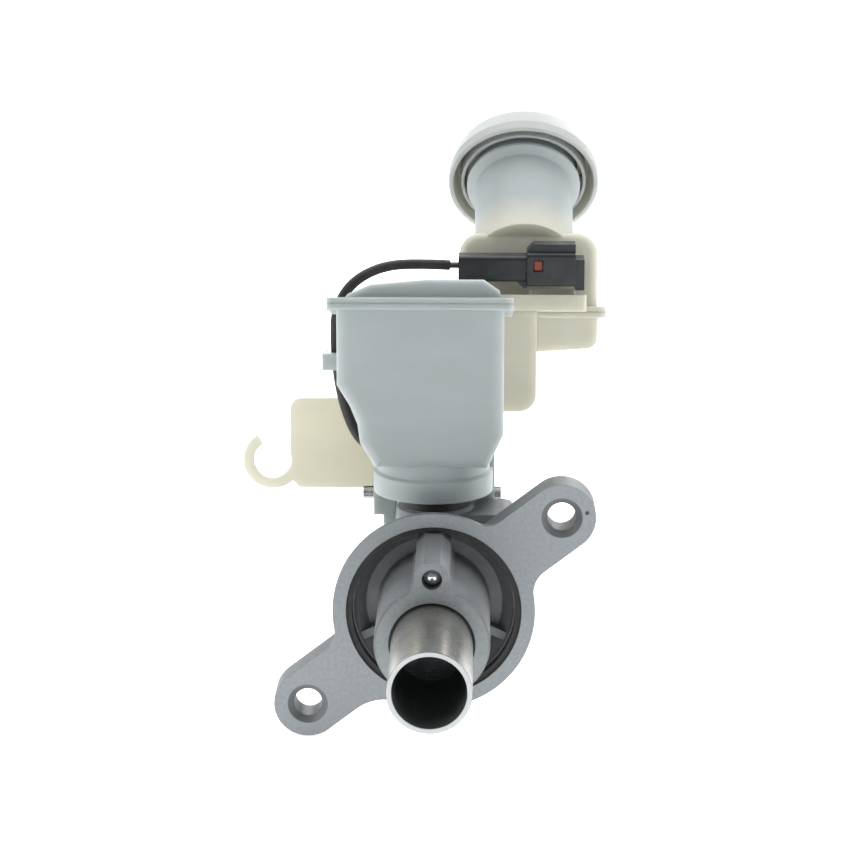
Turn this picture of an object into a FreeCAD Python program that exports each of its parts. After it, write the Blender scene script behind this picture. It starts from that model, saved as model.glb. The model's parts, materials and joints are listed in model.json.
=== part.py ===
import FreeCAD, Part
import Sketcher
import math
import os

# Tandem brake master cylinder of a passenger car, with its fluid reservoir.
# Origin: bore axis on the face of the mounting flange. +Y runs along the bore into
# the car's front, -Y towards the brake booster, +Z is up. Millimetres and degrees.

DIMENSIONS = {
    # bore and casting
    "bore_radius": 11.905, "relief_radius": 12.55, "bore_end": 112, "body_end": 120,
    "barrel_radius": 18, "snout_face": -30.7, "snout_radius": 16.85,
    "mouth_radius": 12.53, "mouth_depth": 4.2,
    # flange
    "flange_thickness": 10.5, "flange_radius": 30.35, "ear_radius": 10.2,
    "bolt_circle": 96, "bolt_angle": 37.7, "bolt_hole_radius": 4.3,
    "bolt_chamfer": 1.8, "rim_thickness": 2, "upper_right_blend": 6, "upper_left_blend": 7,
    "lower_left_blend": 14, "lower_right_blend": 8,
    "recess_radius": 26.25, "recess_step": 4.4, "recess_wall": 24, "recess_floor": 10,
    "ring_width": 1.8, "ring_depth": 3.4,
    # lug and its drilled channel
    "lug_half": 5.1, "lug_flat": 2.3, "lug_top": 24.3, "channel_height": 19.5,
    "channel_radius": 1.7, "ball_radius": 2.95, "ball_depth": 2.1,
    # reservoir ports and pressure outlets
    "front_port": 30, "rear_port": 66, "port_radius": 11.8, "port_top": 25.6,
    "seat_radius": 9.2, "seat_floor": 17.2, "feed_radius": 1.6, "nipple_radius": 6.6,
    "front_outlet": 30, "rear_outlet": 92, "front_outlet_height": 10,
    "rear_outlet_height": -2, "outlet_boss": 10.8,
    "outlet_end": 24.4, "outlet_thread": 5.5, "outlet_depth": 12,
    # retaining pin
    "pin_y": 48, "pin_height": 23.6, "pin_radius": 2.1, "pin_left": -22.9, "pin_right": 20.3,
    # pistons
    "tube_end": -71.7, "tube_bore": 10.365, "tube_floor": -31.5, "piston_front": 6,
    "piston_gap": 0.035, "seal_gap": 0.01, "spring_bore": 9.3, "second_rear": 38, "second_front": 76,
    "rear_cavity": 11, "web": 4.5,
    # seal grooves: first edge of each, all as wide as seal_width
    "seal_width": 4.4, "groove_radius": 15.4, "vacuum_seal": -24.6, "pressure_seal": -12,
    "dividing_seal": 55.5, "second_seal": 69.2, "feed_front": -16, "feed_rear": 64.5,
    # springs
    "coil_radius": 7.6, "wire_radius": 1.05, "rod_radius": 2, "cup_radius": 10.4,
    "cup_length": 9,
    # reservoir: walls and seam
    "wall": 2.2, "seam_front_y": 16, "seam_front_z": 90.6, "seam_slope": 14,
    "lip_width": 2.7, "lip_half": 1.8,
    "front_y": 16, "waist_y": 48, "main_rear": 77, "left_wall": -29.5, "right_wall": 20.7,
    "inner_left": -24, "floor_z": 41, "collar_radius": 18.35, "collar_x": -0.75,
    "collar_y": 34.4, "base_z": 28.8, "fill_left": 6.9, "fill_right": 50.8,
    "fill_front": 72, "fill_rear": 110, "fill_floor": 64, "low_right": 31.4, "low_floor": 46,
    # hook plate
    "plate_y": 62, "plate_thick": 2.5, "plate_left": -46.6, "plate_top": 50.9,
    "plate_bottom": 21.6, "hook_x": -52.3, "hook_z": 30.6, "hook_inner": 6,
    "hook_outer": 9.3,
    # filler neck and cap, measured along the neck's own axis from the skirt's edge
    "neck_x": 27.6, "neck_y": 114, "neck_z": 111.1, "neck_rise": 33.5,
    "neck_radius": 15.9, "neck_bore": 13.4, "neck_root": -36, "neck_end": 8.2,
    "thread_core": 17.3, "thread_crest": 18.8, "thread_lead": 6, "ridge": 1.5,
    "cap_height": 11.7, "cap_top_radius": 22.15, "cap_rim_radius": 24.6,
    "cap_inner": 19.5, "cap_crest": 18.0, "cap_wall": 1.5, "inner_skirt": 1,
    # level sensor
    "post_x": -11, "post_y": 58, "post_radius": 3.6, "post_bore": 2.6, "post_top": 82,
    "float_radius": 9.4, "float_bore": 4.1, "float_low": 64.5, "float_high": 78.5,
    # connector
    "plug_y": 67, "plug_left": 6.6, "plug_mid": 28.1, "plug_right": 43.3,
    "plug_low": 86.8, "plug_high": 97.4, "lead_radius": 1.6,
}

SPRING_TURNS = 8

# The sensor's lead, from the sensor up the reservoir's side and over to the plug.
LEAD_ROUTE = [
    (-16.4, 57.2, 37.6), (-20.6, 55.8, 36.8), (-23.6, 53.6, 38.8), (-26.6, 52.6, 44.0),
    (-29.4, 52.2, 52.5), (-31.0, 52.0, 62.0), (-31.6, 52.2, 72.0), (-31.4, 53.2, 81.0),
    (-27.2, 56.0, 88.6), (-19.0, 60.0, 93.0), (-9.0, 64.0, 93.9), (3.8, 67.0, 92.7),
]

document = FreeCAD.newDocument("master_cylinder")
sheet = document.addObject("Spreadsheet::Sheet", "Dims")
for row, (alias, number) in enumerate(DIMENSIONS.items(), start=1):
    sheet.set("A%d" % row, alias)
    sheet.set("B%d" % row, str(number))
    sheet.setAlias("B%d" % row, alias)
document.recompute()


def linked(text):
    """Turn cell names in a formula into references to the sheet."""
    out, word = "", ""
    for letter in str(text) + " ":
        if letter.isalnum() or letter in "_.":
            word += letter
        else:
            out += ("Dims." + word if word in DIMENSIONS else word) + letter
            word = ""
    return out.strip()


def value(text):
    """Number that a formula in cell names gives."""
    return float(sheet.evalExpression(linked(text)))


# ---- helpers for parametric bodies -------------------------------------------------

PLANES = {"XY": "XY_Plane", "XZ": "XZ_Plane", "YZ": "YZ_Plane"}
published = {}


def new_body(name):
    body = document.addObject("PartDesign::Body", name)
    body.Label = name
    return body


def new_sketch(body, plane, origin=("0", "0", "0")):
    """Sketch on one of the body's own planes, moved to an origin given in its axes."""
    sketch = body.newObject("Sketcher::SketchObject", body.Name + "_sketch")
    support = [o for o in body.Origin.OriginFeatures if o.Role == PLANES[plane]][0]
    sketch.AttachmentSupport = [(support, "")]
    sketch.MapMode = "FlatFace"
    along, across, out = origin
    for axis, text in zip("xyz", (along, across, out)):
        if text != "0":
            sketch.setExpression("AttachmentOffset.Base." + axis, linked(text))
    return sketch


def pin_point(sketch, geometry, end, corner):
    """Hold one end of a line or arc at a corner given by two formulas."""
    for kind, text in zip(("DistanceX", "DistanceY"), corner):
        number = value(text)
        if abs(number) < 1e-9:
            on_axis = -2 if kind == "DistanceX" else -1
            sketch.addConstraint(Sketcher.Constraint("PointOnObject", geometry, end, on_axis))
        else:
            at = sketch.addConstraint(Sketcher.Constraint(kind, -1, 1, geometry, end, number))
            sketch.setExpression("Constraints[%d]" % at, linked(text))


def arc_between(first, last, radius):
    """Anticlockwise arc through two points; a negative radius puts its centre on the right."""
    chord = last - first
    half = chord.Length / 2
    size = max(abs(radius), half * 1.0001)
    side = FreeCAD.Vector(-chord.y, chord.x, 0).normalize() * math.copysign(1, radius)
    centre = (first + last) * 0.5 + side * math.sqrt(size * size - half * half)
    middle = centre - side * size
    if radius > 0:
        return Part.Arc(first, middle, last)
    return Part.Arc(last, middle, first)


def draw_outline(sketch, corners):
    """Closed outline. A corner is (x, y), or (x, y, radius) when an arc starts there."""
    points = [FreeCAD.Vector(value(c[0]), value(c[1]), 0) for c in corners]
    count = len(corners)
    first = sketch.GeometryCount
    reverse = []
    for i, corner in enumerate(corners):
        start, stop = points[i], points[(i + 1) % count]
        if len(corner) == 3:
            radius = value(corner[2])
            sketch.addGeometry(arc_between(start, stop, radius), False)
            reverse.append(radius < 0)
        else:
            sketch.addGeometry(Part.LineSegment(start, stop), False)
            reverse.append(False)
    for i, corner in enumerate(corners):
        after = (i + 1) % count
        end = 1 if reverse[i] else 2
        begin = 2 if reverse[after] else 1
        sketch.addConstraint(
            Sketcher.Constraint("Coincident", first + i, end, first + after, begin))
    for i, corner in enumerate(corners):
        pin_point(sketch, first + i, 2 if reverse[i] else 1, corner[:2])
        if len(corner) == 3:
            at = sketch.addConstraint(
                Sketcher.Constraint("Radius", first + i, abs(value(corner[2]))))
            sketch.setExpression("Constraints[%d]" % at, linked("abs(%s)" % corner[2]))


def draw_circle(sketch, x, y, radius):
    circle = Part.Circle(FreeCAD.Vector(value(x), value(y), 0), FreeCAD.Vector(0, 0, 1),
                         value(radius))
    index = sketch.addGeometry(circle, False)
    pin_point(sketch, index, 3, (x, y))
    at = sketch.addConstraint(Sketcher.Constraint("Radius", index, value(radius)))
    sketch.setExpression("Constraints[%d]" % at, linked(radius))


def box_corners(x0, y0, x1, y1):
    return [(x0, y0), (x1, y0), (x1, y1), (x0, y1)]


def checked(body, feature, cut):
    """Recompute, and make sure the feature really added or removed material."""
    before = body.Shape.Volume if not body.Shape.isNull() else 0
    document.recompute()
    change = feature.Shape.Volume - before
    if (change > -1e-6) if cut else (change < 1e-6):
        raise RuntimeError("%s of %s changed nothing" % (feature.Name, body.Name))
    return feature


def extrude(body, plane, corners, start, stop, cut=False):
    """Pad or pocket between two places on the axis that the plane faces."""
    away = "-(%s)" % start if plane == "XZ" else start
    sketch = new_sketch(body, plane, ("0", "0", away))
    if isinstance(corners, tuple):
        draw_circle(sketch, *corners)
    else:
        draw_outline(sketch, corners)
    kind = "PartDesign::Pocket" if cut else "PartDesign::Pad"
    feature = body.newObject(kind, body.Name + ("_pocket" if cut else "_pad"))
    feature.Profile = sketch
    feature.Reversed = cut != (plane == "XZ")
    feature.setExpression("Length", linked("(%s) - (%s)" % (stop, start)))
    return checked(body, feature, cut)


def turn(body, axis, corners, centre=("0", "0", "0"), cut=False):
    """Turn an outline of (radius, along) about an axis through a centre."""
    x, y, z = centre
    if axis == "Z":
        sketch = new_sketch(body, "XZ", (x, z, "-(%s)" % y))
    else:
        sketch = new_sketch(body, "XY", (x, y, z))
    if axis == "X":
        corners = [(c[1], c[0]) + tuple(c[2:]) for c in corners]
    draw_outline(sketch, corners)
    kind = "PartDesign::Groove" if cut else "PartDesign::Revolution"
    feature = body.newObject(kind, body.Name + ("_groove" if cut else "_turned"))
    feature.Profile = sketch
    feature.ReferenceAxis = (sketch, ["H_Axis" if axis == "X" else "V_Axis"])
    feature.Angle = 360
    return checked(body, feature, cut)


def round_edges(body, radius, chosen, chamfer=False):
    """Fillet or chamfer the edges that a test picks out of the body's present shape."""
    base = body.Tip
    edges = ["Edge%d" % (i + 1) for i, e in enumerate(base.Shape.Edges) if chosen(e)]
    if not edges:
        raise RuntimeError("no edge to round on " + body.Name)
    kind = "PartDesign::Chamfer" if chamfer else "PartDesign::Fillet"
    feature = body.newObject(kind, body.Name + "_edges")
    feature.Base = (base, edges)
    feature.setExpression("Size" if chamfer else "Radius", linked(radius))
    document.recompute()
    return feature


def straight(edge):
    return edge.Curve.TypeId == "Part::GeomLine"


def runs_along(edge, axis):
    """True for a straight edge parallel to an axis given as a vector."""
    if not straight(edge):
        return False
    way = edge.Vertexes[-1].Point - edge.Vertexes[0].Point
    return way.Length > 1e-6 and abs(way.normalize().dot(axis)) > 0.999


AXES = {"X": FreeCAD.Vector(1, 0, 0), "Y": FreeCAD.Vector(0, 1, 0), "Z": FreeCAD.Vector(0, 0, 1)}


def place(thing, centre, about=None, angle=None):
    """Bind an object's place and its turn about an axis to the sheet."""
    if about:
        thing.Placement = FreeCAD.Placement(FreeCAD.Vector(), about, value(angle))
        thing.setExpression("Placement.Rotation.Angle", linked("(%s) * 1 deg" % angle))
    for axis, text in zip("xyz", centre):
        thing.setExpression("Placement.Base." + axis, linked("(%s) * 1 mm" % text))
    document.recompute()
    return thing


def joined(name, pieces):
    fuse = document.addObject("Part::MultiFuse", name)
    fuse.Label = name
    fuse.Shapes = pieces
    fuse.Refine = True
    document.recompute()
    return fuse


def cut_from(name, base, tools):
    """Base with every tool taken away."""
    tool = tools[0] if len(tools) == 1 else joined(name + "_tools", tools)
    cut = document.addObject("Part::Cut", name)
    cut.Label = name
    cut.Base = base
    cut.Tool = tool
    cut.Refine = True
    document.recompute()
    return cut


def publish(thing, name=None):
    """Register a finished sub-part under the name of its node."""
    thing.Label = name or thing.Label
    published[name or thing.Name] = thing
    return thing


def simple_turned(name, corners, axis="Y", centre=("0", "0", "0")):
    body = new_body(name)
    turn(body, axis, corners, centre)
    return publish(body)


def tube_outline(inner, outer, start, stop):
    return [(inner, start), (outer, start), (outer, stop), (inner, stop)]


# ---- cylinder body -----------------------------------------------------------------

def polar(radius, angle, turn_by="0"):
    """Formulas for a point at a radius and an angle in degrees."""
    away = "(%s + %s) * 1 deg" % (angle, turn_by)
    return "(%s) * cos(%s)" % (radius, away), "(%s) * sin(%s)" % (radius, away)


def make_flange(body):
    """Thin round rim blended into two ears; the ears alone are as thick as the flange."""
    start, stop = "0", "rim_thickness"
    extrude(body, "XZ", ("0", "0", "flange_radius"), start, stop)
    bar = []
    for along, across in ((1, -1), (1, 1), (-1, 1), (-1, -1)):
        x = "%d * bolt_circle/2 * cos(bolt_angle * 1 deg) - %d * ear_radius * sin(bolt_angle * 1 deg)"
        z = "%d * bolt_circle/2 * sin(bolt_angle * 1 deg) + %d * ear_radius * cos(bolt_angle * 1 deg)"
        bar.append((x % (along, across), z % (along, across)))
    extrude(body, "XZ", bar, start, stop)
    for side in ("0", "180"):
        x, z = polar("bolt_circle/2", "bolt_angle", side)
        extrude(body, "XZ", (x, z, "ear_radius"), start, stop)
    inner = value("flange_radius") + 1

    def in_corner(edge, quarter):
        if not runs_along(edge, AXES["Y"]):
            return False
        spot = edge.Vertexes[0].Point
        if math.hypot(spot.x, spot.z) > inner:
            return False
        off = math.degrees(math.atan2(spot.z, spot.x)) - value("bolt_angle")
        return int(off % 360 // 90) == quarter

    for quarter, blend in enumerate(("upper_right_blend", "upper_left_blend",
                                     "lower_left_blend", "lower_right_blend")):
        round_edges(body, blend, lambda e, q=quarter: in_corner(e, q))
    extrude(body, "XZ", bar, "rim_thickness - 1", "flange_thickness")
    for side in ("0", "180"):
        x, z = polar("bolt_circle/2", "bolt_angle", side)
        extrude(body, "XZ", (x, z, "ear_radius"), "rim_thickness - 1", "flange_thickness")


def make_casting(body):
    """Barrel, shoulder behind the flange, and the long snout inside the recess."""
    turn(body, "Y", [
        ("0", "rim_thickness - 0.5"), ("flange_radius - 0.2", "rim_thickness - 0.5"),
        ("flange_radius - 3.2", "flange_thickness"),
        ("flange_radius - 5.5", "flange_thickness + 5.5"), ("barrel_radius + 3", "flange_thickness + 12"),
        ("barrel_radius", "flange_thickness + 19"), ("barrel_radius", "body_end - 2.5"),
        ("barrel_radius - 2.5", "body_end"), ("0", "body_end")])
    recess = [("snout_radius - 2", "-1"), ("recess_radius", "-1"), ("recess_radius", "recess_step"),
              ("recess_wall", "recess_step"), ("recess_wall - 0.4", "recess_step + 1.6"),
              ("recess_wall - 3.4", "recess_floor"), ("snout_radius - 2", "recess_floor")]
    turn(body, "Y", recess, cut=True)
    turn(body, "Y", [("0", "snout_face"), ("snout_radius - 0.6", "snout_face"),
                     ("snout_radius", "snout_face + 0.6"), ("snout_radius", "recess_floor + 1"),
                     ("0", "recess_floor + 1")])


def make_lug(body):
    """Lug on top of the snout that carries the drilled feed channel."""
    extrude(body, "XZ", [
        ("-9.6", "13"), ("9.6", "13"), ("9.6", "13.8", "-5.2"), ("lug_half", "18.6"),
        ("lug_half", "lug_top - 2.8"), ("lug_flat", "lug_top"), ("-lug_flat", "lug_top"),
        ("-lug_half", "lug_top - 2.8"), ("-lug_half", "18.6", "-5.2"), ("-9.6", "13.8")],
        "snout_face", "recess_floor + 1")
    for angle in ("-24", "204"):
        rib = [polar("snout_radius - 1", angle, "-4.5"), polar("recess_wall + 0.5", angle, "-3"),
               polar("recess_wall + 0.5", angle, "3"), polar("snout_radius - 1", angle, "4.5")]
        extrude(body, "XZ", rib, "recess_step + 1.6", "recess_floor + 0.5")


def make_bosses(body):
    """Reservoir port bosses on top, the pin's lug between them, outlets on the side."""
    for port in ("front_port", "rear_port"):
        turn(body, "Z", [("0", "2"), ("port_radius", "2"), ("port_radius", "port_top - 1"),
                         ("port_radius - 1", "port_top"), ("0", "port_top")], ("0", port, "0"))
    extrude(body, "YZ", [("pin_y - 4.6", "8"), ("pin_y + 4.6", "8"), ("pin_y + 4.6", "pin_height", "4.6"),
                         ("pin_y - 4.6", "pin_height")], "-5", "5")
    for outlet in ("front_outlet", "rear_outlet"):
        turn(body, "X", [("0", "1"), ("outlet_boss", "1"), ("outlet_boss", "outlet_end - 0.8"),
                         ("outlet_boss - 0.8", "outlet_end"), ("0", "outlet_end")],
             ("0", outlet, outlet + "_height"))
    extrude(body, "XZ", [("8", "10"), ("outlet_end - 0.8", "10"), ("outlet_end - 0.8", "21.3", "3"),
                         ("outlet_end - 3.8", "24.3"), ("8", "24.3")],
            "front_outlet - 9.5", "front_outlet + 9.5")


def drill_casting(body):
    """Stepped bore with its seal grooves, seats, feeds, outlets and bolt holes."""
    running = "bore_radius"
    stations = [("0", "snout_face - 1"), ("mouth_radius", "snout_face - 1"),
                ("mouth_radius", "snout_face + mouth_depth"), (running, "snout_face + mouth_depth")]
    for seal in ("vacuum_seal", "pressure_seal", "dividing_seal", "second_seal"):
        stations += [(running, seal), ("groove_radius", seal),
                     ("groove_radius", "%s + seal_width" % seal), (running, "%s + seal_width" % seal)]
        if seal == "pressure_seal":
            stations += [(running, "piston_front + 2"), ("relief_radius", "piston_front + 3"),
                         ("relief_radius", "second_rear - 3"), (running, "second_rear - 2")]
    stations += [(running, "second_front + 2"), ("relief_radius", "second_front + 3"),
                 ("relief_radius", "bore_end - 2"), ("0", "bore_end")]
    turn(body, "Y", stations, cut=True)
    turn(body, "Y", [("0", "snout_face - 1"), ("channel_radius + 1.25", "snout_face - 1"),
                     ("channel_radius + 1.25", "snout_face + 2 * ball_radius + ball_depth - 1.5"),
                     ("channel_radius", "snout_face + 2 * ball_radius + ball_depth"),
                     ("channel_radius", "front_port"), ("0", "front_port")],
         ("0", "0", "channel_height"), cut=True)
    for port in ("front_port", "rear_port"):
        turn(body, "Z", [("0", "seat_floor"), ("seat_radius", "seat_floor"),
                         ("seat_radius", "port_top + 1"), ("0", "port_top + 1")],
             ("0", port, "0"), cut=True)
    turn(body, "Z", [("0", "4"), ("feed_radius", "4"), ("feed_radius", "channel_height"),
                     ("0", "channel_height")], ("0", "feed_front", "0"), cut=True)
    turn(body, "Z", [("0", "4"), ("feed_radius", "4"), ("feed_radius", "seat_floor + 1"),
                     ("0", "seat_floor + 1")], ("0", "feed_rear", "0"), cut=True)
    for outlet in ("front_outlet", "rear_outlet"):
        turn(body, "X", [("0", "4"), ("2", "4"), ("2", "outlet_end - outlet_depth - 3"),
                         ("outlet_thread", "outlet_end - outlet_depth"),
                         ("outlet_thread", "outlet_end + 1"), ("0", "outlet_end + 1")],
             ("0", outlet, outlet + "_height"), cut=True)
    extrude(body, "YZ", ("pin_y", "pin_height", "pin_radius"), "-6", "6", cut=True)
    for side in ("0", "180"):
        x, z = polar("bolt_circle/2", "bolt_angle", side)
        turn(body, "Y", [("0", "-1"), ("bolt_hole_radius + bolt_chamfer + 1", "-1"),
                         ("bolt_hole_radius + bolt_chamfer", "0"), ("bolt_hole_radius", "bolt_chamfer"),
                         ("bolt_hole_radius", "flange_thickness + 9"), ("0", "flange_thickness + 9")],
             (x, "0", z), cut=True)
    x, z = polar("bolt_circle/2 + 7", "bolt_angle - 3.4")
    turn(body, "Y", [("0", "-0.2"), ("0.6", "-0.2"), ("0.6", "0.25"), ("0", "0.6")], (x, "0", z), cut=True)


def make_cylinder_body():
    body = new_body("cylinder_body")
    make_flange(body)
    make_casting(body)
    make_lug(body)
    make_bosses(body)
    drill_casting(body)
    publish(body)


# ---- pistons, seals and springs ----------------------------------------------------

def make_pistons():
    skin = "bore_radius - piston_gap"
    simple_turned("primary_piston", [
        ("0", "tube_floor"), ("tube_bore", "tube_floor"), ("tube_bore", "tube_end + 0.3"),
        ("tube_bore + 0.15", "tube_end"), (skin + " - 0.3", "tube_end"), (skin, "tube_end + 0.3"),
        (skin, "piston_front - 0.6"), (skin + " - 0.6", "piston_front"),
        ("spring_bore", "piston_front"), ("spring_bore", "tube_floor + web"), ("0", "tube_floor + web")])
    simple_turned("secondary_piston", [
        ("0", "second_rear + rear_cavity"), ("spring_bore - 3", "second_rear + rear_cavity"),
        ("spring_bore - 3", "second_rear + 1"),
        ("spring_bore - 2", "second_rear"), (skin + " - 0.6", "second_rear"), (skin, "second_rear + 0.6"),
        (skin, "second_front - 0.6"), (skin + " - 0.6", "second_front"),
        ("spring_bore", "second_front"),
        ("spring_bore", "second_rear + rear_cavity + web"), ("0", "second_rear + rear_cavity + web")])


def make_seals():
    inner = "bore_radius - seal_gap"
    for name, start, thick in (("primary_vacuum_seal", "vacuum_seal", "0.4"),
                               ("primary_pressure_seal", "pressure_seal", "0"),
                               ("secondary_dividing_seal", "dividing_seal", "0"),
                               ("secondary_pressure_seal", "second_seal", "0")):
        front = "%s + seal_width - 0.1" % start
        simple_turned(name, [
            (inner, start + " + 0.1"), ("groove_radius", start + " + 0.1"), ("groove_radius", front),
            ("groove_radius - 0.9", front), ("groove_radius - 1.2 + %s" % thick, start + " + 1.9"),
            (inner + " + 1.0", start + " + 1.9"), (inner + " + 0.7", front), (inner, front)])
    simple_turned("guide_ring", tube_outline(inner + " + 0.02", "mouth_radius", "snout_face + 0.9",
                                             "snout_face + mouth_depth"))
    simple_turned("flange_seal", [
        ("recess_radius - ring_width", "0.9"), ("recess_radius", "0.9"),
        ("recess_radius", "0.9 + ring_depth"), ("recess_radius - ring_width", "0.9 + ring_depth")])
    make_channel_ball()
    for name, port in (("front_port_grommet", "front_port"), ("rear_port_grommet", "rear_port")):
        simple_turned(name, [
            ("nipple_radius", "seat_floor + 0.3"), ("seat_radius", "seat_floor + 0.3"),
            ("seat_radius", "port_top"), ("port_radius - 0.8", "port_top"),
            ("port_radius - 0.8", "base_z - 0.3"), ("nipple_radius", "base_z - 0.3")], "Z",
            ("0", port, "0"))


def make_channel_ball():
    """Ball pressed into the mouth of the drilled channel to close it."""
    body = new_body("channel_ball")
    ball = body.newObject("PartDesign::AdditiveSphere", "channel_ball_sphere")
    ball.setExpression("Radius", linked("ball_radius"))
    ball.setExpression("Placement.Base.y", linked("snout_face + ball_depth - 0.6 + ball_radius"))
    ball.setExpression("Placement.Base.z", linked("channel_height"))
    document.recompute()
    publish(body)


def make_spring(name, start, stop, turns):
    """Coil spring with its own wire, between two seats on the bore's axis."""
    body = new_body(name)
    wire = "wire_radius"
    sketch = new_sketch(body, "XY", ("0", start + " + " + wire, "0"))
    draw_circle(sketch, "coil_radius", "0", wire)
    helix = body.newObject("PartDesign::AdditiveHelix", name + "_coil")
    helix.Profile = sketch
    helix.ReferenceAxis = (sketch, ["V_Axis"])
    helix.Mode = "height-turns-growth"
    helix.Turns = turns
    helix.setExpression("Height", linked("(%s) - (%s) - 2 * wire_radius" % (stop, start)))
    document.recompute()
    publish(body)


def make_spring_cage():
    """Rod fixed in the primary piston, its head caught in a cup on the secondary piston."""
    foot, head = "tube_floor + web", "second_rear - cup_length + 1.4"
    simple_turned("primary_rod", [
        ("0", foot), ("rod_radius + 2.2", foot), ("rod_radius + 2.2", foot + " + 1.6"),
        ("rod_radius", foot + " + 1.6"), ("rod_radius", head), ("rod_radius + 1.5", head),
        ("rod_radius + 1.5", head + " + 2"), ("0", head + " + 2")])
    lip = "second_rear - cup_length"
    simple_turned("primary_cup", [
        ("rod_radius + 0.3", lip), ("rod_radius + 3.1", lip),
        ("rod_radius + 3.1", "second_rear - 1.2"), ("cup_radius", "second_rear - 1.2"),
        ("cup_radius", "second_rear"), ("rod_radius + 1.9", "second_rear"),
        ("rod_radius + 1.9", lip + " + 1.2"), ("rod_radius + 0.3", lip + " + 1.2")])


# ---- reservoir ---------------------------------------------------------------------

def tilted(thing):
    """Put a body into the seam's frame, which slopes down towards the front of the car."""
    return place(thing, ("0", "seam_front_y", "seam_front_z"), AXES["X"], "-seam_slope")


def grow(corners, by):
    """Formulas for an outline of x and y, each corner moved out by its own signs."""
    return [("%s + %d * (%s)" % (x, sx, by), "%s + %d * (%s)" % (y, sy, by)) for x, y, sx, sy in corners]


SLANT = "/ cos(seam_slope * 1 deg)"
PLAN = [("left_wall", "0", -1, -1), ("right_wall", "0", 1, -1),
        ("right_wall", "(fill_front - seam_front_y) %s" % SLANT, 1, -1),
        ("fill_right", "(fill_front - seam_front_y) %s" % SLANT, 1, -1),
        ("fill_right", "(fill_rear - seam_front_y) %s" % SLANT, 1, 1),
        ("fill_left", "(fill_rear - seam_front_y) %s" % SLANT, -1, 1),
        ("fill_left", "(main_rear - seam_front_y) %s" % SLANT, -1, 1),
        ("inner_left", "(main_rear - seam_front_y) %s" % SLANT, -1, 1),
        ("inner_left", "(waist_y - seam_front_y) %s" % SLANT, -1, 1),
        ("left_wall", "(waist_y - seam_front_y) %s" % SLANT, -1, 1)]


def seam_slab(name, low, high, by):
    """Flat layer with the reservoir's plan, grown by an amount, in the seam's frame."""
    body = new_body(name)
    extrude(body, "XY", grow(PLAN, by), low, high)
    round_edges(body, "2.4", lambda e: runs_along(e, AXES["Z"]))
    return tilted(body)


def front_outline(skin):
    """Front view of the main chamber, drawn in by the thickness of its skin."""
    return [("left_wall + %s" % skin, "104"), ("left_wall + %s" % skin, "65"),
            ("-25.6 + %s" % skin, "58.5"), ("-23.4 + %s" % skin, "53"),
            ("-22.6 + %s" % skin, "47"), ("-18.2 + %s" % skin, "39.6 + %s" % skin),
            ("16 - %s" % skin, "39.6 + %s" % skin), ("right_wall - %s" % skin, "49.8"),
            ("right_wall - %s" % skin, "104")]


def rounded_block(name, plane, corners, start, stop, radius, along):
    """Extrusion with the edges along one axis rounded."""
    body = new_body(name)
    extrude(body, plane, corners, start, stop)
    if radius:
        round_edges(body, radius, lambda e: runs_along(e, AXES[along]))
    return body


def chamber_blocks(tag, skin, radius):
    """The blocks that make the lower shell: outside with no skin, hollow with the wall."""
    front = new_body(tag + "_front")
    extrude(front, "XZ", front_outline(skin), "front_y + %s" % skin, "waist_y - %s" % skin)
    top = 103.9
    edge_y = value("front_y + %s" % skin)

    def front_edge(edge):
        box = edge.BoundBox
        return box.YMax - edge_y < 1e-4 and box.ZMin < top

    round_edges(front, radius, front_edge)
    rear = rounded_block(tag + "_rear", "XZ", [
        ("inner_left + %s" % skin, "104"), ("inner_left + %s" % skin, "52"),
        ("-19 + %s" % skin, "floor_z + %s" % skin), ("16 - %s" % skin, "floor_z + %s" % skin),
        ("right_wall - %s" % skin, "50"), ("right_wall - %s" % skin, "104")],
        "waist_y - 8", "main_rear - %s" % skin, "2.5", "Y")
    low = rounded_block(tag + "_low", "XZ", [
        ("4 + %s" % skin, "104"), ("4 + %s" % skin, "low_floor + %s" % skin),
        ("low_right - %s" % skin, "low_floor + %s" % skin),
        ("low_right - %s" % skin, "104")],
        "main_rear - 13 + %s" % skin, "main_rear + 21 - %s" % skin, "5.5", "Y")
    fill = rounded_block(tag + "_fill", "XZ", [
        ("fill_left + %s" % skin, "104"), ("fill_left + %s" % skin, "fill_floor - 2 + %s" % skin),
        ("fill_right - %s" % skin, "fill_floor + 1 + %s" % skin), ("fill_right - %s" % skin, "104")],
        "fill_front + %s" % skin, "fill_rear - %s" % skin, "3.4", "Y")
    return [front, rear, low, fill]


def make_hook_plate():
    body = new_body("hook_plate")
    start, stop = "plate_y - plate_thick/2", "plate_y + plate_thick/2"
    extrude(body, "XZ", [
        ("-17", "plate_bottom"), ("-17", "plate_top"), ("plate_left + 4", "plate_top", "4"),
        ("plate_left", "plate_top - 4"), ("plate_left", "hook_z"),
        ("plate_left + 0.4", "plate_bottom + 2.4"), ("plate_left + 3", "plate_bottom")], start, stop)
    extrude(body, "XZ", ("hook_x", "hook_z", "hook_outer"), start, stop)
    extrude(body, "XZ", ("hook_x", "hook_z", "hook_inner"), start, stop, cut=True)
    extrude(body, "XZ", [("hook_x", "hook_z"), ("hook_x + 5.6", "hook_z"), ("hook_x + 5.6", "hook_z + 12"),
                         ("hook_x - 7.3", "hook_z + 12")], start, stop, cut=True)
    return body


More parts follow.
